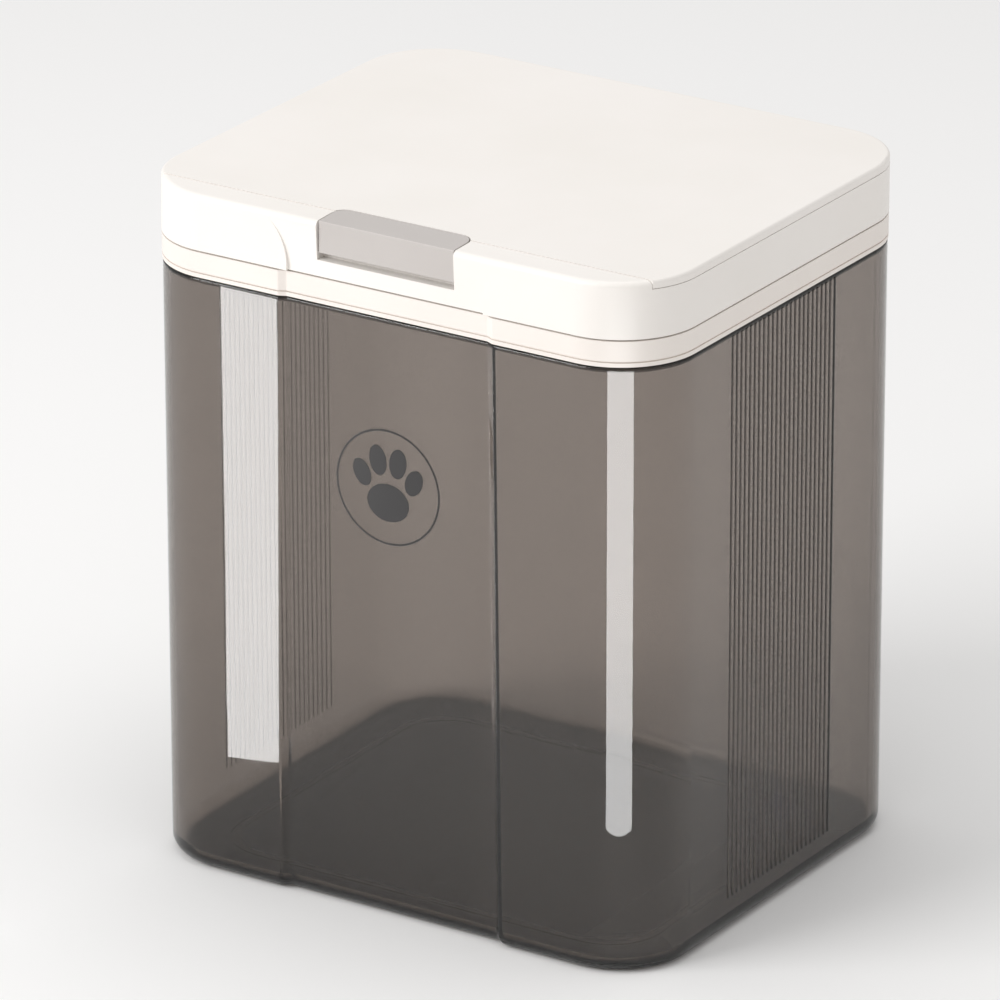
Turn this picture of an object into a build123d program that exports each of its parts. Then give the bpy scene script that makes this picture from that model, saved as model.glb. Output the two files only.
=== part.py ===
from build123d import *
from math import hypot, sin, cos, radians
import os

# A pet food bin: a clear ribbed tub, a white collar, and a flip lid with a press latch.
# Frame: millimetres, +Z up, the latch side faces -Y. The origin is on the ground,
# under the middle of the bin.
os.makedirs("parts", exist_ok=True)

# ---------------------------------------------------------------- driving dimensions
WIDTH = 260.0            # over the lid, along X
DEPTH = 220.0            # over the lid, along Y, hinge knuckles not counted
HEIGHT = 312.0           # ground to the top of the lid
CORNER_R = 36.0          # plan radius of the four upright corners
ABOVE = 10.0             # how far a cutting solid runs on above the lid

# the shallow recess in the middle of the front, from the collar up
RECESS_DEPTH = 1.6
RECESS_HALF_IN = 50.2    # half width of the recess at its floor
RECESS_HALF_OUT = 53.4   # half width of the recess at the shoulders
RECESS_OUT_R = 1.6       # rounding at the shoulders
RECESS_IN_R = 1.2        # rounding at the recess's floor
TUB_RECESS_WIDER = 2.7   # how much each half grows down to the ground
TUB_RECESS_DEEPER = 1.0  # how much the recess deepens down to the ground

SEAM_Z = 285.9           # top of the collar
SEAM_GAP = 0.8           # lid to collar
COLLAR_INSET = 0.1
COLLAR_BOTTOM_Z = 274.6  # lower edge of the collar's outer flange
COLLAR_GROOVE_Z = 276.35  # a fine groove round the flange sets off a lip at its lower edge
COLLAR_GROOVE_HEIGHT = 0.7
COLLAR_GROOVE_DEPTH = 0.9
COLLAR_WALL = 2.2
SKIRT_BOTTOM_Z = 272.0   # lower edge of the skirt that plugs into the tub
SKIRT_WALL = 1.6
SKIRT_CLEAR = 0.4        # skirt to the inside of the neck
MOUTH_LIP_WALL = 1.8
MOUTH_LIP_DEPTH = 6.0

TUB_INSET = 0.4          # tub wall behind the lid's outline
TUB_WALL = 2.4
NECK_INSET = 2.9         # outside of the neck that the collar covers
NECK_WALL = 2.0
NECK_Z = 274.0           # shoulder between wall and neck
SHOULDER_ROUND = 1.2     # rounding of that shoulder
FLOOR_TOP_Z = 3.6
BASE_ROUND = 7.0         # rounding under the tub's outside
FLOOR_ROUND = 5.5        # rounding round the tub's floor inside
BASE_GROOVE_INSET = 22.0  # a shallow groove runs round under the tub
BASE_GROOVE_WIDTH = 4.0
BASE_GROOVE_DEPTH = 1.0

RIB_COUNT = 24           # upright half-round ribs on each side wall
RIB_PITCH = 3.6
RIB_R = 1.5
RIB_SINK = 1.0           # rib centre behind the wall's face
RIB_MID_Y = -1.75
RIB_BOTTOM_Z = 16.5
RIB_TOP_Z = 272.5

LID_WALL = 2.6
DECK_TOP_Z = 309.8       # the shell's deck, under the top panel
DECK_THICK = 2.4
PANEL_LIP_Z = 308.2      # lower edge of the top panel's lip
LIP_WALL = 2.3
PART_GAP = 0.3           # gap between two covers of the lid
PANEL_EDGE_R = 1.4       # rounded top edge of the panel
CREASE_Y = -95.6         # front edge of the top panel
FRONT_LEAN = 0.6         # how far the front leans back over the lid's height
SCOOP_HALF_X = 49.0      # the lid's shallow middle: its half width at the seam
SCOOP_ARC_R = 25.3       # its sides curve outwards on this radius
SCOOP_ARC_Z = 289.0      # from this height
SCOOP_TOP_Z = 308.0      # to this height, where it runs out
BAND_REAR_Z = 311.7      # the band in front of the panel dips from here
BAND_FRONT_Z = 311.3     # to here, at the button's face
BAND_ROLL_R = 2.5        # rounding from the band into the front

LINER_BOTTOM_Z = 287.0
LINER_THICK = 2.4
LINER_CLEAR = 0.4
LINER_PAN = 6.0          # the thin middle of the liner stands this far inside the mouth
LINER_PAN_DEPTH = 0.8
REAR_WALL = 3.6          # the shell's rear wall, which carries the hinge

MOUTH_HALF_X = 113.5     # the opening through the collar
MOUTH_FRONT_Y = -80.0
MOUTH_REAR_Y = 92.5
MOUTH_R = 26.0
GASKET_OFFSET = 3.5      # gasket centre line, outside the mouth
GASKET_WIDTH = 3.0
GASKET_BOTTOM_Z = 286.3
GASKET_TOP_Z = 289.8
GASKET_RIM = 2.6         # half width of the liner's rib over the gasket
GASKET_ROOF = 1.8        # thickness of that rib above the gasket

HINGE_Y = 112.0
HINGE_Z = 286.3
KNUCKLE_R = 4.0
HINGE_MID_X = 70.0       # middle of each of the two hinges
LID_KNUCKLE = 20.0       # length of the lid's knuckle, between two collar knuckles
COLLAR_KNUCKLE = 10.0
KNUCKLE_GAP = 0.4
HINGE_PIN_R = 1.5
RUNNING_CLEARANCE = 0.05
GUSSET_Z = 8.0           # height of the webs that carry the hinge knuckles
GUSSET_ROOT = 1.5        # how deep a web runs into its wall
GUSSET_TOE_Y = 2.6       # front of a web's narrow end, behind the hinge line
GUSSET_RISE = 0.6        # a web starts this far above or below the hinge line

BUTTON_HALF_X = 33.6
BUTTON_FACE_Y = -108.2
BUTTON_REAR_Y = -92.1
BUTTON_TOP_REAR_Z = 312.0
BUTTON_BOTTOM_Z = 297.3
BUTTON_WALL = 2.2
BUTTON_CORNER_R = 6.0    # rounded rear corners of the button's top
BUTTON_EDGE_R = 0.5      # rounding between the button's top and face
BUTTON_GAP = 0.6        # round the button
SLOT_FLOOR_Z = 294.1     # the shelf seen under the button
SLOT_BACK_Y = -103.6
CHEEK_WALL = 2.2         # walls of the housing round the button
TRAY_TOP_Z = 296.2       # the ledge inside, which carries the springs
TRAY_BOTTOM_Z = 290.6
TRAY_REAR_Y = -98.0

PIVOT_Y = -95.0          # the latch turns on a pin here
PIVOT_Z = 305.0
PIVOT_R = 1.2
HUB_R = 3.2
HUB_HALF_X = 14.0
STEM_HALF_Y = 1.6        # half thickness of the web from the hub to the button's top
LUG_WALL = 4.0
LUG_GAP = 0.6            # lug to hub
LUG_MARGIN = 3.6         # lug round the pin, in front and below
LUG_TOP = 2.6            # and above
LUG_FOOT = 5.0           # the lug's root behind the button
LEVER_HALF_X = 10.0
LEVER_FRONT_Y = -96.0
LEVER_REAR_Y = -93.5
LEVER_CLEAR = 0.7        # lever to its hole through the liner
HOOK_TIP_Y = -96.8
HOOK_TOP_Z = 283.2
HOOK_BOTTOM_Z = 280.8
CATCH_EDGE_Y = -97.2     # edge of the collar's land that the hook stands under
POCKET_HALF_X = 11.2
POCKET_REAR_Y = -89.5
POCKET_FLOOR_Z = 278.6
POCKET_WALL = 1.6

SPRING_X = 26.0
SPRING_Y = -100.6
SPRING_R = 1.7
SPRING_WIRE_R = 0.25
SPRING_PITCH = 1.4
SPRING_FOOT_GAP = 0.05
SPRING_HEAD_GAP = 0.3

SCREW_R = 1.5
SCREW_HEAD_R = 2.8
SCREW_HEAD_H = 1.4
SCREW_LENGTH = 9.0
SCREW_HOLE_CLEAR = 0.15
HEAD_HOLE_CLEAR = 0.25
CROSS_HALF = 1.6         # the cross in the head
CROSS_HALF_WIDTH = 0.3
CROSS_DEPTH = 0.8
BOSS_R = 3.4
BOSS_INSET = 4.0         # boss centre from the cavity's wall
SIDE_SCREW_Y = 45.0
REAR_SCREW_X = 40.0
FRONT_SCREW_X = 70.0

ROUND_STEPS = 5          # sections in a rounded edge of the tub

# ---------------------------------------------------------------- derived dimensions
HALF_W = WIDTH / 2
REAR_Y = DEPTH / 2
SHOULDER_Y = -DEPTH / 2
RECESS_Y = SHOULDER_Y + RECESS_DEPTH
CAVITY_FRONT_Y = RECESS_Y + LID_WALL
CAVITY_REAR_Y = REAR_Y - REAR_WALL
SHELL_BOTTOM_Z = SEAM_Z + SEAM_GAP
CAVITY_TOP_Z = DECK_TOP_Z - DECK_THICK
LINER_TOP_Z = LINER_BOTTOM_Z + LINER_THICK
NECK_INNER = NECK_INSET + NECK_WALL
GASKET_HALF = GASKET_WIDTH / 2
LUG_X = HUB_HALF_X + LUG_GAP
PIN_HALF_X = LUG_X + LUG_WALL


# ---------------------------------------------------------------- shared outlines
def block(x0, x1, y0, y1, z0, z1):
    """A box given by its limits."""
    return Pos((x0 + x1) / 2, (y0 + y1) / 2, (z0 + z1) / 2) * Box(x1 - x0, y1 - y0, z1 - z0)


def rod_x(x0, x1, y, z, r):
    """A round bar along X."""
    return Pos((x0 + x1) / 2, y, z) * Rot(0, 90, 0) * Cylinder(r, x1 - x0)


def rounded_plan(half_x, y0, y1, r):
    """A rounded rectangle seen from above."""
    return Pos(0, (y0 + y1) / 2) * RectangleRounded(2 * half_x, y1 - y0, r)


def prism(plan, z0, z1):
    return extrude(Pos(0, 0, z0) * plan, z1 - z0)


def front_plan(inset=0.0, shoulder=SHOULDER_Y, recess=RECESS_Y, half_in=RECESS_HALF_IN,
               half_out=RECESS_HALF_OUT, r_out=RECESS_OUT_R, r_in=RECESS_IN_R):
    """The bin's outline from above, with its front recess, brought in by an inset."""
    run, rise = half_out - half_in, recess - shoulder
    spread = inset * (hypot(run, rise) - run) / rise
    x, y0, y1 = HALF_W - inset, shoulder + inset, REAR_Y - inset
    floor, inner, outer = recess + inset, half_in + spread, half_out + spread
    corner, r_shoulder, r_floor = CORNER_R - inset, max(r_out - inset, 0.5), r_in + inset
    points = [(x, y1), (-x, y1), (-x, y0), (-outer, y0), (-inner, floor),
              (inner, floor), (outer, y0), (x, y0)]
    radii = [corner, corner, corner, r_shoulder, r_floor, r_floor, r_shoulder, corner]
    return make_face(filleted_loop(points, radii))


def filleted_loop(points, radii):
    """Straight runs joined by tangent arcs, one radius for each corner of the loop."""
    count = len(points)
    entries, exits, middles = [], [], []
    for i in range(count):
        here, before, after = Vector(*points[i]), Vector(*points[i - 1]), Vector(*points[(i + 1) % count])
        back, ahead = (before - here).normalized(), (after - here).normalized()
        half_angle = radians(back.get_angle(ahead)) / 2
        reach = radii[i] * cos(half_angle) / sin(half_angle)
        centre = here + (back + ahead).normalized() * (radii[i] / sin(half_angle))
        entries.append(here + back * reach)
        exits.append(here + ahead * reach)
        middles.append(centre + (here - centre).normalized() * radii[i])
    edges = []
    for i in range(count):
        edges.append(ThreePointArc(entries[i], middles[i], exits[i]))
        edges.append(Line(exits[i], entries[(i + 1) % count]))
    return edges


# ---------------------------------------------------------------- the tub
def tub_section(z, inset):
    """The tub's outline at one height: its recess widens and deepens towards the ground."""
    down = max(0.0, 1 - z / NECK_Z)
    wider = TUB_RECESS_WIDER * down
    plan = front_plan(inset, recess=RECESS_Y + TUB_RECESS_DEEPER * down,
                      half_in=RECESS_HALF_IN + wider, half_out=RECESS_HALF_OUT + wider)
    return Pos(0, 0, z) * plan


def tub_form(z_bottom, z_top, inset, foot_r, top_r=0.0):
    """An upright solid on the tub's outline, its lower and upper edges rounded over."""
    def edge_sections(z_end, radius, way):
        angles = [radians(90 * i / ROUND_STEPS) for i in range(ROUND_STEPS + 1)]
        return [tub_section(z_end + way * radius * (1 - sin(angle)), inset + radius * (1 - cos(angle)))
                for angle in angles]

    foot = edge_sections(z_bottom, foot_r, 1)[::-1]
    top = edge_sections(z_top, top_r, -1) if top_r else [tub_section(z_top, inset)]
    form = loft(foot) + loft([foot[-1], top[0]], ruled=True)
    return form + loft(top) if top_r else form


def rib_bank(side):
    """The upright ribs of one side wall: +1 is the +X wall."""
    centre_x = side * (HALF_W - TUB_INSET - RIB_SINK)
    first_y = RIB_MID_Y - RIB_PITCH * (RIB_COUNT - 1) / 2
    ribs = [Pos(centre_x, first_y + i * RIB_PITCH) * Circle(RIB_R) for i in range(RIB_COUNT)]
    bank = Sketch() + ribs
    return prism(bank, RIB_BOTTOM_Z, RIB_TOP_Z)


def base_plan(inset):
    return rounded_plan(HALF_W - inset, SHOULDER_Y + inset, REAR_Y - inset, CORNER_R - inset / 2)


def make_bin_body():
    """One clear moulding: walls with the front recess, neck, ribs and rounded base."""
    outside = tub_form(0, NECK_Z, TUB_INSET, BASE_ROUND, SHOULDER_ROUND)
    outside += prism(front_plan(NECK_INSET), NECK_Z - TUB_WALL, SEAM_Z - COLLAR_WALL)
    outside += rib_bank(1)
    outside += rib_bank(-1)
    inside = tub_form(FLOOR_TOP_Z, NECK_Z - TUB_WALL, TUB_INSET + TUB_WALL, FLOOR_ROUND)
    inside += prism(front_plan(NECK_INNER), NECK_Z - TUB_WALL, SEAM_Z)
    groove = base_plan(BASE_GROOVE_INSET) - base_plan(BASE_GROOVE_INSET + BASE_GROOVE_WIDTH)
    return outside - inside - prism(groove, 0, BASE_GROOVE_DEPTH)


# ---------------------------------------------------------------- the collar
def collar_knuckle_spans():
    """X spans of the collar's four hinge knuckles."""
    spans = []
    for side in (-1, 1):
        for outward in (-1, 1):
            near = side * HINGE_MID_X + outward * (LID_KNUCKLE / 2 + KNUCKLE_GAP)
            far = near + outward * COLLAR_KNUCKLE
            spans.append((min(near, far), max(near, far)))
    return spans


def lid_knuckle_spans():
    """X spans of the lid's two hinge knuckles."""
    half = LID_KNUCKLE / 2
    return [(side * HINGE_MID_X - half, side * HINGE_MID_X + half) for side in (-1, 1)]


def gusset(x0, x1, upward):
    """Web from a knuckle to the wall it stands on: +1 above the pin, -1 below it."""
    wall_y, root_z = REAR_Y - GUSSET_ROOT, HINGE_Z + upward * GUSSET_RISE
    far_z = HINGE_Z + upward * GUSSET_Z
    profile = [(wall_y, root_z), (HINGE_Y + GUSSET_TOE_Y, root_z + upward), (REAR_Y, far_z),
               (wall_y, far_z)]
    loop = Polyline(*[(0, y, z) for y, z in profile], close=True)
    return Pos(x0, 0, 0) * extrude(make_face(loop.edges()), x1 - x0, dir=(1, 0, 0))


def hinge_knuckles(wall, own_spans, other_spans, upward, pin_r):
    """Clear the other part's knuckles from a wall, then add and bore its own."""
    for x0, x1 in other_spans:
        wall -= rod_x(x0 - KNUCKLE_GAP, x1 + KNUCKLE_GAP, HINGE_Y, HINGE_Z, KNUCKLE_R + KNUCKLE_GAP)
    for x0, x1 in own_spans:
        wall += rod_x(x0, x1, HINGE_Y, HINGE_Z, KNUCKLE_R)
        wall += gusset(x0, x1, upward)
        wall -= rod_x(x0, x1, HINGE_Y, HINGE_Z, pin_r)
    return wall


def mouth_plan(offset=0.0):
    return rounded_plan(MOUTH_HALF_X + offset, MOUTH_FRONT_Y - offset, MOUTH_REAR_Y + offset,
                        MOUTH_R + offset)


def make_collar_ring():
    """White ring on the tub's neck: flange outside, land on top, skirt inside, hinge, catch."""
    land_z = SEAM_Z - COLLAR_WALL
    skirt_inset = NECK_INNER + SKIRT_CLEAR
    skirt_front_y = RECESS_Y + skirt_inset
    flange = prism(front_plan(COLLAR_INSET), COLLAR_BOTTOM_Z, SEAM_Z)
    flange -= prism(front_plan(COLLAR_INSET + COLLAR_WALL), COLLAR_BOTTOM_Z, land_z)
    groove_plan = front_plan() - front_plan(COLLAR_INSET + COLLAR_GROOVE_DEPTH)
    flange -= prism(groove_plan, COLLAR_GROOVE_Z, COLLAR_GROOVE_Z + COLLAR_GROOVE_HEIGHT)
    skirt = prism(front_plan(skirt_inset), SKIRT_BOTTOM_Z, land_z)
    skirt -= prism(front_plan(skirt_inset + SKIRT_WALL), SKIRT_BOTTOM_Z, land_z)
    lip = prism(mouth_plan(MOUTH_LIP_WALL), SEAM_Z - MOUTH_LIP_DEPTH, SEAM_Z)
    pocket_block = block(-POCKET_HALF_X - POCKET_WALL, POCKET_HALF_X + POCKET_WALL,
                         skirt_front_y, POCKET_REAR_Y + POCKET_WALL,
                         POCKET_FLOOR_Z - POCKET_WALL, land_z)
    ring = flange + skirt + lip + pocket_block
    ring -= prism(mouth_plan(), POCKET_FLOOR_Z - POCKET_WALL, SEAM_Z)
    ring -= block(-POCKET_HALF_X, POCKET_HALF_X, skirt_front_y + SKIRT_WALL, POCKET_REAR_Y,
                  POCKET_FLOOR_Z, land_z)
    ring -= block(-POCKET_HALF_X, POCKET_HALF_X, CATCH_EDGE_Y, POCKET_REAR_Y,
                  POCKET_FLOOR_Z, SEAM_Z)
    return hinge_knuckles(ring, collar_knuckle_spans(), lid_knuckle_spans(), -1, HINGE_PIN_R)


# ---------------------------------------------------------------- the lid
def panel_region():
    """Plan of everything behind the straight front edge of the top panel."""
    depth = REAR_Y + ABOVE - CREASE_Y
    return Pos(0, CREASE_Y + depth / 2) * Rectangle(WIDTH + 2 * ABOVE, depth)


def button_top_z(y):
    """Height of the button's sloping top."""
    slope = (BUTTON_TOP_REAR_Z - BAND_FRONT_Z) / (BUTTON_REAR_Y - BUTTON_FACE_Y)
    return BAND_FRONT_Z + (y - BUTTON_FACE_Y) * slope


def above_band():
    """Everything above the band that dips from the crease to the front face."""
    slope = (BAND_REAR_Z - BAND_FRONT_Z) / (CREASE_Y - BUTTON_FACE_Y)
    front_y, rear_y, top = SHOULDER_Y - ABOVE, CREASE_Y, HEIGHT + ABOVE
    front_z = BAND_REAR_Z + (front_y - CREASE_Y) * slope
    side = Polyline((0, front_y, front_z), (0, rear_y, BAND_REAR_Z), (0, rear_y, top),
                    (0, front_y, top), (0, front_y, front_z))
    return Pos(-HALF_W - ABOVE, 0, 0) * extrude(make_face(side.edges()), WIDTH + 2 * ABOVE,
                                                dir=(1, 0, 0))


def lid_plan(inset=0.0, lean=0.0):
    """The lid's outline from above, its front moved back by a lean."""
    return rounded_plan(HALF_W - inset, SHOULDER_Y + lean + inset, REAR_Y - inset, CORNER_R - inset)


def lid_outside():
    """The lid's outer form, its front leaning back a little."""
    low = Pos(0, 0, SHELL_BOTTOM_Z) * lid_plan()
    high = Pos(0, 0, HEIGHT) * lid_plan(lean=FRONT_LEAN)
    return loft([low, high], ruled=True)


def front_scoop():
    """What is cut from the middle of the front: a step at the seam that fades upwards."""
    low, high = SHELL_BOTTOM_Z - 1, SCOOP_TOP_Z
    centre_x = SCOOP_HALF_X + SCOOP_ARC_R

    def on_arc(z):
        return centre_x - (SCOOP_ARC_R ** 2 - (z - SCOOP_ARC_Z) ** 2) ** 0.5, 0, z

    def mirrored(point):
        return -point[0], point[1], point[2]

    foot, start, middle, end = ((SCOOP_HALF_X, 0, low), on_arc(SCOOP_ARC_Z),
                                on_arc((SCOOP_ARC_Z + high) / 2), on_arc(high))
    outline = make_face([
        Line(foot, start), ThreePointArc(start, middle, end), Line(end, mirrored(end)),
        ThreePointArc(mirrored(end), mirrored(middle), mirrored(start)),
        Line(mirrored(start), mirrored(foot)), Line(mirrored(foot), foot)])
    across = extrude(outline, -SHOULDER_Y + ABOVE, dir=(0, -1, 0))
    front_y = SHOULDER_Y - ABOVE
    fade_y = SHOULDER_Y + FRONT_LEAN * (high - SHELL_BOTTOM_Z) / (HEIGHT - SHELL_BOTTOM_Z)
    side = Polyline((0, front_y, low), (0, RECESS_Y, low), (0, RECESS_Y, SHELL_BOTTOM_Z),
                    (0, fade_y, high), (0, front_y, high), (0, front_y, low))
    return across & Pos(-HALF_W, 0, 0) * extrude(make_face(side.edges()), WIDTH, dir=(1, 0, 0))


def rolled_front(shell):
    """Round the edge where the band in front of the panel meets the lid's front."""
    edges = [edge for edge in shell.edges()
             if edge.center().Z > BAND_FRONT_Z - 1 and edge.center().Y < CREASE_Y - 2
             and edge.bounding_box().max.Y < CREASE_Y + PART_GAP]
    return fillet(edges, BAND_ROLL_R)


def button_opening(gap):
    """Plan of the button's top, with rounded rear corners, grown by a gap."""
    front_y, rear_y = SHOULDER_Y - gap, BUTTON_REAR_Y + gap
    plan = Pos(0, (front_y + rear_y) / 2) * Rectangle(2 * (BUTTON_HALF_X + gap), rear_y - front_y)
    rear = plan.vertices().sort_by(Axis.Y)[-2:]
    return fillet(rear, BUTTON_CORNER_R + gap)


def screw_places():
    """Where the liner is screwed up into the shell."""
    side_x = HALF_W - LID_WALL - BOSS_INSET
    front_y, rear_y = CAVITY_FRONT_Y + BOSS_INSET, CAVITY_REAR_Y - BOSS_INSET
    return [(-side_x, -SIDE_SCREW_Y), (side_x, -SIDE_SCREW_Y), (-side_x, SIDE_SCREW_Y),
            (side_x, SIDE_SCREW_Y), (-REAR_SCREW_X, rear_y), (REAR_SCREW_X, rear_y),
            (-FRONT_SCREW_X, front_y), (FRONT_SCREW_X, front_y)]


def shell_skin():
    """The shell's hollow form: front apron, side walls and the deck under the panel."""
    skin = lid_outside() - above_band()
    skin = rolled_front(skin) - front_scoop()
    under_panel = panel_region()
    skin -= prism(under_panel, DECK_TOP_Z, HEIGHT + ABOVE)
    skin -= prism(under_panel, PANEL_LIP_Z - PART_GAP, HEIGHT) - prism(
        lid_plan(LIP_WALL + PART_GAP, FRONT_LEAN), CAVITY_TOP_Z, HEIGHT + ABOVE)
    return skin - prism(rounded_plan(HALF_W - LID_WALL, CAVITY_FRONT_Y, CAVITY_REAR_Y,
                                     CORNER_R - LID_WALL), SHELL_BOTTOM_Z, CAVITY_TOP_Z)


def add_latch_housing(shell):
    """Housing round the button: cheeks, a tray for the springs, a slot, and lugs for the pin."""
    inner = BUTTON_HALF_X + BUTTON_GAP
    outer = inner + CHEEK_WALL
    shell += block(-outer, outer, CAVITY_FRONT_Y - LID_WALL / 2, TRAY_REAR_Y, TRAY_BOTTOM_Z,
                   CAVITY_TOP_Z)
    shell -= block(-inner, inner, SHOULDER_Y, SLOT_BACK_Y, SLOT_FLOOR_Z, HEIGHT + ABOVE)
    shell -= prism(button_opening(BUTTON_GAP), TRAY_TOP_Z, HEIGHT + ABOVE)
    root_y = BUTTON_REAR_Y + LUG_FOOT
    for side in (-1, 1):
        near, far = sorted((side * LUG_X, side * PIN_HALF_X))
        shell += block(near, far, PIVOT_Y - LUG_MARGIN, root_y, PIVOT_Z - LUG_MARGIN,
                       PIVOT_Z + LUG_TOP)
        shell += block(near, far, BUTTON_REAR_Y + 2 * BUTTON_GAP, root_y, PIVOT_Z, CAVITY_TOP_Z)
    return shell - rod_x(-PIN_HALF_X, PIN_HALF_X, PIVOT_Y, PIVOT_Z, PIVOT_R)


def make_lid_shell():
    """The lid's white base moulding, with the latch housing, screw bosses and hinge knuckles."""
    shell = add_latch_housing(shell_skin())
    boss_height = CAVITY_TOP_Z - LINER_TOP_Z
    for x, y in screw_places():
        shell += Pos(x, y, LINER_TOP_Z + boss_height / 2) * Cylinder(BOSS_R, boss_height)
        shell -= Pos(x, y, LINER_TOP_Z) * Cylinder(SCREW_R, 2 * SCREW_LENGTH)
    return hinge_knuckles(shell, lid_knuckle_spans(), collar_knuckle_spans(), 1,
                          HINGE_PIN_R + RUNNING_CLEARANCE)


def make_top_panel():
    """The smooth white cover plate with a lip down the sides and back."""
    panel = prism(lid_plan(lean=FRONT_LEAN), PANEL_LIP_Z, HEIGHT)
    panel = fillet(panel.faces().sort_by(Axis.Z)[-1].edges(), PANEL_EDGE_R)
    panel -= prism(lid_plan(LIP_WALL, FRONT_LEAN), PANEL_LIP_Z, DECK_TOP_Z)
    panel &= Pos(0, PART_GAP, 0) * prism(panel_region(), PANEL_LIP_Z, HEIGHT)
    return panel - prism(button_opening(BUTTON_GAP), PANEL_LIP_Z, HEIGHT + ABOVE)


def make_liner():
    """The white plate that closes the lid underneath, with the gasket's groove."""
    edge = LID_WALL + LINER_CLEAR
    rib_top = GASKET_TOP_Z + GASKET_ROOF
    liner = prism(rounded_plan(HALF_W - edge, CAVITY_FRONT_Y + LINER_CLEAR,
                               CAVITY_REAR_Y - LINER_CLEAR, CORNER_R - edge),
                  LINER_BOTTOM_Z, LINER_TOP_Z)
    rim = prism(mouth_plan(GASKET_OFFSET + GASKET_RIM), LINER_BOTTOM_Z, rib_top)
    liner += rim - prism(mouth_plan(GASKET_OFFSET - GASKET_RIM), LINER_TOP_Z, rib_top)
    groove = prism(mouth_plan(GASKET_OFFSET + GASKET_HALF), LINER_BOTTOM_Z, GASKET_TOP_Z)
    liner -= groove - prism(mouth_plan(GASKET_OFFSET - GASKET_HALF), LINER_BOTTOM_Z, GASKET_TOP_Z)
    liner -= prism(mouth_plan(-LINER_PAN), LINER_BOTTOM_Z, LINER_BOTTOM_Z + LINER_PAN_DEPTH)
    liner -= block(-LEVER_HALF_X - LEVER_CLEAR, LEVER_HALF_X + LEVER_CLEAR,
                   HOOK_TIP_Y - LEVER_CLEAR, POCKET_REAR_Y, LINER_BOTTOM_Z, LINER_TOP_Z)
    for x, y in screw_places():
        liner -= Pos(x, y, LINER_BOTTOM_Z) * Cylinder(SCREW_R + SCREW_HOLE_CLEAR, SCREW_LENGTH)
        liner -= Pos(x, y, LINER_BOTTOM_Z) * Cylinder(SCREW_HEAD_R + HEAD_HOLE_CLEAR,
                                                      2 * SCREW_HEAD_H)
    return liner


def make_gasket():
    """Soft square-section seal ring under the lid."""
    ring = prism(mouth_plan(GASKET_OFFSET + GASKET_HALF), GASKET_BOTTOM_Z, GASKET_TOP_Z)
    return ring - prism(mouth_plan(GASKET_OFFSET - GASKET_HALF), GASKET_BOTTOM_Z, GASKET_TOP_Z)


def make_liner_screws():
    """Eight pan-head screws, pointing up, as separate solids in one node."""
    shank_z, shank_length = LINER_BOTTOM_Z + SCREW_HEAD_H, SCREW_LENGTH - SCREW_HEAD_H
    cross_top = LINER_BOTTOM_Z + CROSS_DEPTH
    screws = []
    for x, y in screw_places():
        head = Pos(x, y, LINER_BOTTOM_Z + SCREW_HEAD_H / 2) * Cylinder(SCREW_HEAD_R, SCREW_HEAD_H)
        shank = Pos(x, y, shank_z + shank_length / 2) * Cylinder(SCREW_R, shank_length)
        cross = block(x - CROSS_HALF, x + CROSS_HALF, y - CROSS_HALF_WIDTH, y + CROSS_HALF_WIDTH,
                      LINER_BOTTOM_Z, cross_top)
        cross += block(x - CROSS_HALF_WIDTH, x + CROSS_HALF_WIDTH, y - CROSS_HALF, y + CROSS_HALF,
                       LINER_BOTTOM_Z, cross_top)
        screws.append((head + shank - cross).solid())
    return Compound(children=screws)


# ---------------------------------------------------------------- the latch
def button_cap():
    """The part of the button that the hand meets: an L of face and top."""
    inner_y = BUTTON_FACE_Y + BUTTON_WALL
    side = Polyline((0, BUTTON_FACE_Y, BUTTON_BOTTOM_Z), (0, BUTTON_FACE_Y, BAND_FRONT_Z),
                    (0, BUTTON_REAR_Y, BUTTON_TOP_REAR_Z),
                    (0, BUTTON_REAR_Y, BUTTON_TOP_REAR_Z - BUTTON_WALL),
                    (0, inner_y, button_top_z(inner_y) - BUTTON_WALL),
                    (0, inner_y, BUTTON_BOTTOM_Z), (0, BUTTON_FACE_Y, BUTTON_BOTTOM_Z))
    cap = extrude(make_face(side.edges()), 2 * BUTTON_HALF_X, dir=(1, 0, 0))
    cap = Pos(-BUTTON_HALF_X, 0, 0) * cap
    cap &= prism(button_opening(0), BUTTON_BOTTOM_Z, HEIGHT + ABOVE)
    crease = cap.edges().filter_by(Axis.X).sort_by(
        lambda edge: abs(edge.center().Y - BUTTON_FACE_Y) + abs(edge.center().Z - BAND_FRONT_Z))[0]
    return fillet(crease, BUTTON_EDGE_R)


def make_latch_button():
    """Grey press button: its cap, a hub on the pin, and the hook lever."""
    stem_top = button_top_z(PIVOT_Y) - BUTTON_WALL / 2
    hub = rod_x(-HUB_HALF_X, HUB_HALF_X, PIVOT_Y, PIVOT_Z, HUB_R)
    hub += block(-HUB_HALF_X, HUB_HALF_X, PIVOT_Y - STEM_HALF_Y, PIVOT_Y + STEM_HALF_Y, PIVOT_Z,
                 stem_top)
    lever = block(-LEVER_HALF_X, LEVER_HALF_X, LEVER_FRONT_Y, LEVER_REAR_Y, HOOK_BOTTOM_Z, PIVOT_Z)
    nose = block(-LEVER_HALF_X, LEVER_HALF_X, HOOK_TIP_Y, LEVER_FRONT_Y, HOOK_BOTTOM_Z, HOOK_TOP_Z)
    button = button_cap() + hub + lever + nose
    return button - rod_x(-PIN_HALF_X, PIN_HALF_X, PIVOT_Y, PIVOT_Z, PIVOT_R + RUNNING_CLEARANCE)


def make_latch_pin():
    """Steel pin, pressed into the shell's two lugs."""
    return rod_x(-PIN_HALF_X, PIN_HALF_X, PIVOT_Y, PIVOT_Z, PIVOT_R)


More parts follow.
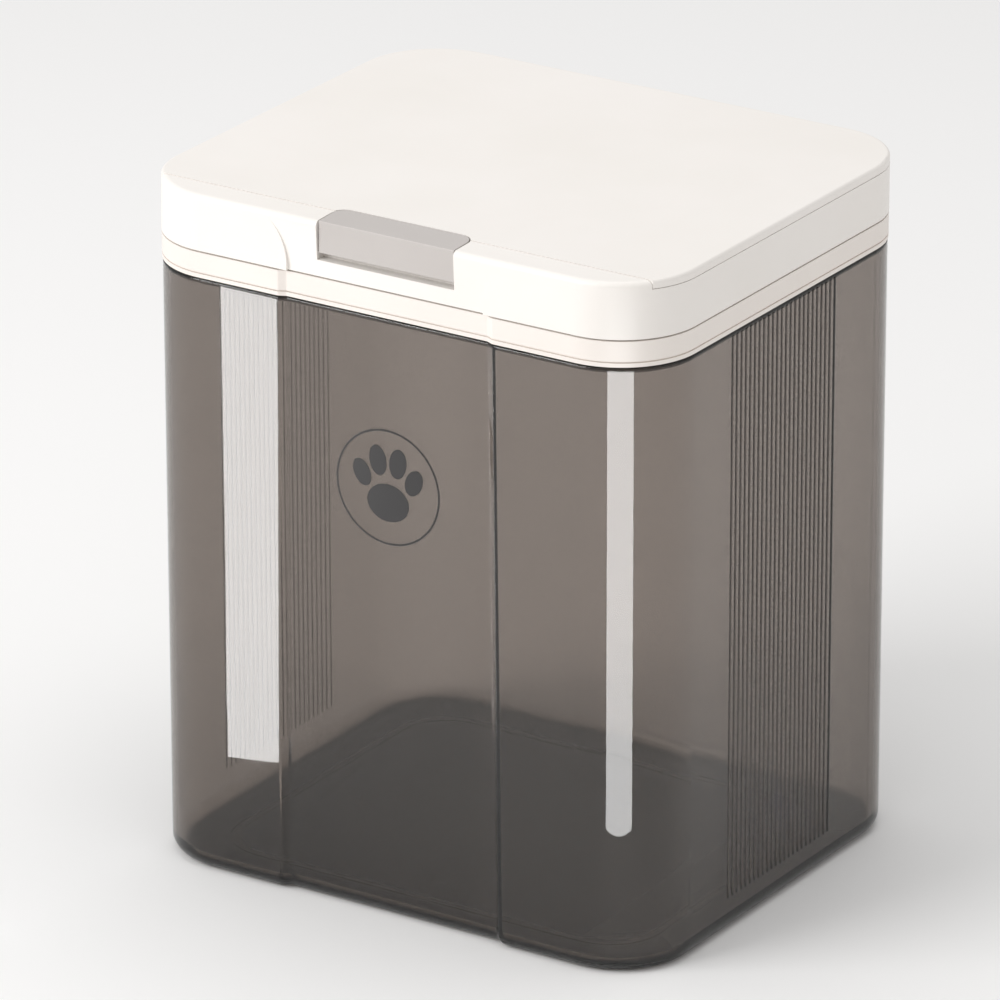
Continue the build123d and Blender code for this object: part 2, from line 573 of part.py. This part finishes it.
def make_latch_spring(side):
    """Small coil spring between the shell's tray and the underside of the button."""
    foot_z = TRAY_TOP_Z + SPRING_WIRE_R + SPRING_FOOT_GAP
    head_z = button_top_z(SPRING_Y) - BUTTON_WALL - SPRING_WIRE_R - SPRING_HEAD_GAP
    path = Helix(SPRING_PITCH, head_z - foot_z, SPRING_R)
    section = Plane(origin=path @ 0, z_dir=path % 0) * Circle(SPRING_WIRE_R)
    return Pos(side * SPRING_X, SPRING_Y, foot_z) * sweep(section, path, is_frenet=True)


def make_hinge_pin(side):
    """Steel hinge pin, held in the collar's knuckles and free in the lid's."""
    half = LID_KNUCKLE / 2 + KNUCKLE_GAP + COLLAR_KNUCKLE
    middle = side * HINGE_MID_X
    return rod_x(middle - half, middle + half, HINGE_Y, HINGE_Z, HINGE_PIN_R)


def write(name, shape):
    shape.label = name
    export_step(shape, f"parts/{name}.step")


write("bin_body", make_bin_body())
write("collar_ring", make_collar_ring())
write("lid_shell", make_lid_shell())
write("lid_top_panel", make_top_panel())
write("lid_liner", make_liner())
write("lid_gasket", make_gasket())
write("liner_screws", make_liner_screws())
write("latch_button", make_latch_button())
write("latch_pin", make_latch_pin())
for name, side in (("left", -1), ("right", 1)):
    write(f"latch_spring_{name}", make_latch_spring(side))
    write(f"hinge_pin_{name}", make_hinge_pin(side))
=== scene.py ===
"""A clear pet food bin with a white flip lid: finishes, print, studio light and camera."""
import math

import bmesh
import bpy
from mathutils import Matrix, Vector


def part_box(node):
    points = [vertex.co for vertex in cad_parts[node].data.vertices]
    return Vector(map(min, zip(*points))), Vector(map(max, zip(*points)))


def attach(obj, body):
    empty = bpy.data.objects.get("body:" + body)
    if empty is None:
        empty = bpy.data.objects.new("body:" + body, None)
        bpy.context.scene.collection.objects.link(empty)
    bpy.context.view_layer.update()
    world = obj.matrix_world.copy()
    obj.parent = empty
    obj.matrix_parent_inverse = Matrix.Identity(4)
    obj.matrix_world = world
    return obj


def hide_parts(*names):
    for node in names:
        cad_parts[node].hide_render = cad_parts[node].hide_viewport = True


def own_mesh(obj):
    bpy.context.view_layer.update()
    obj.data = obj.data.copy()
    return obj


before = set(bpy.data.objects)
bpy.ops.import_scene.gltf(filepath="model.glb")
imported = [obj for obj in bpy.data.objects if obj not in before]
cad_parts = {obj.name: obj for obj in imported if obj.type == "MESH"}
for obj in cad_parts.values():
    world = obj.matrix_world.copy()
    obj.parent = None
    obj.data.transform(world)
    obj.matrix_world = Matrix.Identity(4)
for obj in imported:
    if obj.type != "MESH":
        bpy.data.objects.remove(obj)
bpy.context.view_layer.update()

MM = 0.001


# ------------------------------------------------------------------ finishes
def linear(hex_colour):
    """An sRGB hex colour as a linear RGBA tuple."""
    channels = [int(hex_colour[i:i + 2], 16) / 255 for i in (1, 3, 5)]
    return (*[c / 12.92 if c <= 0.04045 else ((c + 0.055) / 1.055) ** 2.4 for c in channels], 1.0)


def add_node(tree, kind, inputs=None, **settings):
    """Add one node, set its properties, and set or link each of its inputs."""
    made = tree.nodes.new(kind)
    for name, value in settings.items():
        setattr(made, name, value)
    for name, value in (inputs or {}).items():
        if isinstance(value, bpy.types.NodeSocket):
            tree.links.new(value, made.inputs[name])
        else:
            made.inputs[name].default_value = value
    return made


def new_material(name):
    """An empty node material and its output node."""
    material = bpy.data.materials.new(name)
    material.use_nodes = True
    material.node_tree.nodes.clear()
    output = add_node(material.node_tree, "ShaderNodeOutputMaterial")
    return material, material.node_tree, output


def per_metre(millimetres):
    """Noise scale for a feature of this size."""
    return 1.0 / (millimetres * MM)


def object_noise(tree, size_mm, detail=2.0, roughness=0.5, stretch=(1, 1, 1)):
    """Noise in object space whose features are about size_mm across."""
    place = add_node(tree, "ShaderNodeTexCoord")
    mapped = add_node(tree, "ShaderNodeMapping", {"Vector": place.outputs["Object"], "Scale": stretch})
    return add_node(tree, "ShaderNodeTexNoise", {
        "Vector": mapped.outputs["Vector"], "Scale": per_metre(size_mm), "Detail": detail,
        "Roughness": roughness})


def moulded_plastic(name, light, dark, roughness, grain_mm, grain_depth_mm, sheen_spread=0.08):
    """Opaque moulded plastic: an even colour, a spark-eroded grain, a gloss that wanders."""
    # the eye gets a soft, broad sheen with no hard reflections; the real grain is about 0.1 mm,
    # and it is drawn about 1 mm across, or it would not show
    material, tree, output = new_material(name)
    patches = object_noise(tree, 60, detail=3)
    colour = add_node(tree, "ShaderNodeValToRGB", {"Fac": patches.outputs["Fac"]})
    colour.color_ramp.elements[0].position = 0.3
    colour.color_ramp.elements[0].color = linear(dark)
    colour.color_ramp.elements[1].position = 0.7
    colour.color_ramp.elements[1].color = linear(light)
    handling = object_noise(tree, 14, detail=4, roughness=0.6)
    gloss = add_node(tree, "ShaderNodeMapRange", {
        "Value": handling.outputs["Fac"], "From Min": 0.3, "From Max": 0.7,
        "To Min": roughness - sheen_spread / 2, "To Max": roughness + sheen_spread / 2})
    grain = object_noise(tree, grain_mm, detail=1.5, roughness=0.4)
    bump = add_node(tree, "ShaderNodeBump", {
        "Height": grain.outputs["Fac"], "Strength": 1.0, "Distance": grain_depth_mm * MM})
    surface = add_node(tree, "ShaderNodeBsdfPrincipled", {
        "Base Color": colour.outputs["Color"], "Roughness": gloss.outputs["Result"],
        "Normal": bump.outputs["Normal"], "IOR": 1.5})
    tree.links.new(surface.outputs["BSDF"], output.inputs["Surface"])
    return material


def clear_smoke_pet():
    """Injection-moulded PET, smoke tinted: glossy, with soft flow ripples and a faint haze."""
    # the eye gets clean reflections that waver a little, and a grey that deepens with thickness
    material, tree, output = new_material("clear_smoke_PET")
    ripple = object_noise(tree, 45, detail=1.0, stretch=(1, 1, 0.35))
    bump = add_node(tree, "ShaderNodeBump", {
        "Height": ripple.outputs["Fac"], "Strength": 1.0, "Distance": 0.12 * MM})
    haze = object_noise(tree, 9, detail=4, roughness=0.65)
    gloss = add_node(tree, "ShaderNodeMapRange", {
        "Value": haze.outputs["Fac"], "From Min": 0.35, "From Max": 0.75,
        "To Min": 0.012, "To Max": 0.05})
    surface = add_node(tree, "ShaderNodeBsdfPrincipled", {
        "Base Color": linear("#FBF8F7"), "Roughness": gloss.outputs["Result"],
        "Normal": bump.outputs["Normal"], "IOR": 1.57, "Transmission Weight": 1.0})
    tint = add_node(tree, "ShaderNodeVolumeAbsorption", {
        "Color": linear("#B0A69C"), "Density": 510.0})
    tree.links.new(surface.outputs["BSDF"], output.inputs["Surface"])
    tree.links.new(tint.outputs["Volume"], output.inputs["Volume"])
    return material


def silicone_seal():
    """Moulded silicone rubber: milky, matt, lightly dusty."""
    # the eye gets a soft edge to its shadows, from light that enters the rubber
    material, tree, output = new_material("milky_silicone")
    dust = object_noise(tree, 3, detail=3)
    colour = add_node(tree, "ShaderNodeValToRGB", {"Fac": dust.outputs["Fac"]})
    colour.color_ramp.elements[0].color = linear("#C9C8C4")
    colour.color_ramp.elements[1].color = linear("#DEDDD9")
    bump = add_node(tree, "ShaderNodeBump", {
        "Height": dust.outputs["Fac"], "Strength": 0.6, "Distance": 0.03 * MM})
    surface = add_node(tree, "ShaderNodeBsdfPrincipled", {
        "Base Color": colour.outputs["Color"], "Roughness": 0.55, "IOR": 1.41,
        "Subsurface Weight": 0.25, "Subsurface Scale": 1.5 * MM, "Normal": bump.outputs["Normal"]})
    tree.links.new(surface.outputs["BSDF"], output.inputs["Surface"])
    return material


def turned_steel():
    """Zinc-plated steel, turned or drawn: fine lines round and along it."""
    # the eye gets a streaked glint; real tool marks are about 0.05 mm and are drawn at 1.2 mm
    material, tree, output = new_material("plated_steel")
    lines = object_noise(tree, 1.2, detail=3, stretch=(0.2, 1, 1))
    colour = add_node(tree, "ShaderNodeValToRGB", {"Fac": lines.outputs["Fac"]})
    colour.color_ramp.elements[0].color = linear("#A9ABAE")
    colour.color_ramp.elements[1].color = linear("#CBCCCD")
    gloss = add_node(tree, "ShaderNodeMapRange", {
        "Value": lines.outputs["Fac"], "To Min": 0.22, "To Max": 0.38})
    surface = add_node(tree, "ShaderNodeBsdfPrincipled", {
        "Base Color": colour.outputs["Color"], "Metallic": 1.0, "Roughness": gloss.outputs["Result"]})
    tree.links.new(surface.outputs["BSDF"], output.inputs["Surface"])
    return material


def printing_ink():
    """Screen-printed black ink, slightly raised and satin."""
    # the eye gets a flat dark shape whose edge catches a little light; the real screen is finer
    material, tree, output = new_material("black_print_ink")
    screen = object_noise(tree, 0.8, detail=2)
    gloss = add_node(tree, "ShaderNodeMapRange", {
        "Value": screen.outputs["Fac"], "To Min": 0.38, "To Max": 0.55})
    surface = add_node(tree, "ShaderNodeBsdfPrincipled", {
        "Base Color": linear("#1B1819"), "Roughness": gloss.outputs["Result"]})
    tree.links.new(surface.outputs["BSDF"], output.inputs["Surface"])
    return material


def finish_nodes():
    """Give each carried-over part its finish, and return the steel for the pieces added later."""
    white = moulded_plastic("white_ABS", "#F6F1EC", "#F3EEE8", 0.36, 0.9, 0.006)
    collar_white = moulded_plastic("white_PP", "#F3ECE5", "#EFE7E0", 0.42, 1.1, 0.006)
    grey = moulded_plastic("warm_grey_ABS", "#C5BFBB", "#BEB8B4", 0.38, 0.9, 0.008)
    steel = turned_steel()
    finishes = {
        "bin_body": clear_smoke_pet(), "collar_ring": collar_white, "lid_shell": white,
        "lid_top_panel": white, "lid_liner": collar_white, "lid_gasket": silicone_seal(),
        "liner_screws": steel, "latch_button": grey, "latch_pin": steel,
        "latch_spring_left": steel, "latch_spring_right": steel,
        "hinge_pin_left": steel, "hinge_pin_right": steel}
    for node, finish in finishes.items():
        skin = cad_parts[node].data.materials
        skin.clear()
        skin.append(finish)
    return steel


# ------------------------------------------------------------------ the print on the front
def mesh_piece(name, shape, finish, body):
    """Turn a bmesh into a piece that rides on a body."""
    bmesh.ops.recalc_face_normals(shape, faces=shape.faces)
    mesh = bpy.data.meshes.new(name)
    shape.to_mesh(mesh)
    shape.free()
    mesh.materials.append(finish)
    piece = bpy.data.objects.new(name, mesh)
    bpy.context.collection.objects.link(piece)
    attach(piece, body)
    return piece


INK_DEPTH = 0.08 * MM
RING_RADIUS = 26 * MM
RING_WIDTH = 0.9 * MM
RECESS_BEHIND_FRONT = 1.82 * MM      # the print's back, just clear of the recessed wall
WALL_DRAFT = 1.0 / 274   # the front leans out by this much per unit of height
PRINT_HEIGHT = 0.70      # of the tub's height
# each pad: centre across and up, half width, half height in millimetres, and its tilt
PADS = [(0, -7, 10.5, 8.5, 0), (-13, 4.5, 4.2, 6.2, -24), (-5, 11.5, 4.3, 6.8, -8),
        (5, 11.5, 4.3, 6.8, 8), (13, 4.5, 4.2, 6.2, 24)]


def paw_print():
    """A plain paw mark inside a ring, printed on the recessed middle of the tub's front."""
    low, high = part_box("bin_body")
    middle = Vector((0, low[1] + RECESS_BEHIND_FRONT, low[2] + PRINT_HEIGHT * (high[2] - low[2])))
    upright = Matrix.Rotation(math.radians(90), 4, "X")
    lean = Matrix.Rotation(math.atan(WALL_DRAFT), 4, "X")
    shape = bmesh.new()
    for across, up, half_width, half_height, tilt in PADS:
        place = (Matrix.Translation(middle + Vector((across, 0, up)) * MM)
                 @ Matrix.Rotation(math.radians(tilt), 4, "Y") @ upright
                 @ Matrix.Diagonal((half_width * MM, half_height * MM, 1, 1)))
        bmesh.ops.create_circle(shape, cap_ends=True, segments=40, radius=1.0, matrix=place)
    ring = bmesh.ops.create_circle(shape, cap_ends=True, segments=96, radius=RING_RADIUS,
                                   matrix=Matrix.Translation(middle) @ upright)
    disc = ring["verts"][0].link_faces[0]
    bmesh.ops.inset_region(shape, faces=[disc], thickness=RING_WIDTH, use_boundary=True,
                           use_even_offset=True)
    bmesh.ops.delete(shape, geom=[disc], context="FACES")
    walls = bmesh.ops.extrude_face_region(shape, geom=shape.faces[:])
    moved = [v for v in walls["geom"] if isinstance(v, bmesh.types.BMVert)]
    bmesh.ops.translate(shape, verts=moved, vec=(0, -INK_DEPTH, 0))
    bmesh.ops.rotate(shape, verts=shape.verts, cent=middle, matrix=lean.to_3x3())
    mesh_piece("paw_print", shape, printing_ink(), "bin")


def shortening_spring(node, finish):
    """A coil spring that stands on the lid's tray, copied into a mesh piece of its own that rides on
    the lid.
    """
    shape = bmesh.new()
    shape.from_mesh(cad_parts[node].data)
    bmesh.ops.remove_doubles(shape, verts=shape.verts, dist=0.0005 * MM)
    coil = mesh_piece(node + "_coil", shape, finish, "lid")
    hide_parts(node)
    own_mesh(coil)


# ------------------------------------------------------------------ studio
CAMERA_YAW = 32.82       # degrees round from the front, towards the right side
CAMERA_PITCH = 21.81     # degrees looking down
CAMERA_ROLL = -0.1
CAMERA_DISTANCE = 3.6735
CAMERA_LENS = 306.24
SENSOR_WIDTH = 36.0
VIEW_REACH = 50.0
AIM = Vector((-0.0099, -0.0057, 0.1564))
FLOOR_HALF_SIZE = 12.0
STRIP_HEIGHT = 228       # millimetres
WORLD_STRENGTH = 0.62
KEY_POWER = 38
TOP_POWER = 11


def towards_camera(yaw, pitch):
    """Unit vector from the bin towards a viewpoint."""
    a, e = math.radians(yaw), math.radians(pitch)
    return Vector((math.sin(a) * math.cos(e), -math.cos(a) * math.cos(e), math.sin(e)))


def add_camera():
    """The camera, from the front right and above."""
    data = bpy.data.cameras.new("camera")
    data.lens = CAMERA_LENS
    data.sensor_width = SENSOR_WIDTH
    data.clip_end = VIEW_REACH
    camera = bpy.data.objects.new("camera", data)
    bpy.context.collection.objects.link(camera)
    back = towards_camera(CAMERA_YAW, CAMERA_PITCH)
    turn = back.to_track_quat("Z", "Y").to_matrix().to_4x4()
    roll = Matrix.Rotation(math.radians(CAMERA_ROLL), 4, "Z")
    camera.matrix_world = Matrix.Translation(AIM + back * CAMERA_DISTANCE) @ turn @ roll
    bpy.context.scene.camera = camera


def add_softbox(name, centre, aim, width, height, power, reflections_only=False):
    """A rectangular soft light that points at a place."""
    data = bpy.data.lights.new(name, "AREA")
    data.shape = "RECTANGLE"
    data.size, data.size_y = width, height
    data.energy = power
    light = bpy.data.objects.new(name, data)
    bpy.context.collection.objects.link(light)
    facing = (Vector(centre) - Vector(aim)).to_track_quat("Z", "Y").to_matrix().to_4x4()
    light.matrix_world = Matrix.Translation(Vector(centre)) @ facing
    light.visible_camera = False
    if reflections_only:
        light.visible_diffuse = False
        light.visible_transmission = False


def studio_floor():
    """A large pale floor, flat and matt."""
    shape = bmesh.new()
    bmesh.ops.create_grid(shape, x_segments=1, y_segments=1, size=FLOOR_HALF_SIZE)
    mesh = bpy.data.meshes.new("floor")
    shape.to_mesh(mesh)
    shape.free()
    material, tree, output = new_material("pale_floor")
    surface = add_node(tree, "ShaderNodeBsdfPrincipled", {
        "Base Color": linear("#FBFAF9"), "Roughness": 0.9, "Specular IOR Level": 0.1})
    tree.links.new(surface.outputs["BSDF"], output.inputs["Surface"])
    mesh.materials.append(material)
    floor = bpy.data.objects.new("floor", mesh)
    bpy.context.collection.objects.link(floor)


def standing_strip(name, foot_left, foot_right, height, power):
    """An upright strip light that stands on the floor and only shows as a reflection."""
    left, right = Vector((*foot_left, 0)) * MM, Vector((*foot_right, 0)) * MM
    centre = (left + right) / 2 + Vector((0, 0, height * MM / 2))
    along = (right - left).normalized()
    aim = centre + Vector((-along.y, along.x, 0))
    add_softbox(name, centre, aim, (right - left).length, height * MM, power,
                reflections_only=True)


def studio_light():
    """White surroundings, a key from the front left, a soft top, and two strips for the walls."""
    world = bpy.data.worlds.new("studio")
    world.use_nodes = True
    background = world.node_tree.nodes["Background"]
    background.inputs["Color"].default_value = linear("#FFFFFF")
    background.inputs["Strength"].default_value = WORLD_STRENGTH
    bpy.context.scene.world = world
    add_softbox("key", (-1.3, -2.0, 1.6), (0, 0, 0.15), 1.6, 1.6, KEY_POWER)
    add_softbox("top", (0.1, 0.2, 2.4), (0, 0, 0.2), 1.8, 1.8, TOP_POWER)
    standing_strip("left_strip", (-156.7, -216.0), (-132.2, -223.7), STRIP_HEIGHT, 0.17)
    standing_strip("right_strip", (143.8, -253.1), (231.4, -199.5), STRIP_HEIGHT, 0.62)
    bpy.context.scene.view_settings.view_transform = "Standard"


steel = finish_nodes()
paw_print()
for side in ("left", "right"):
    shortening_spring(f"latch_spring_{side}", steel)
studio_floor()
studio_light()
add_camera()
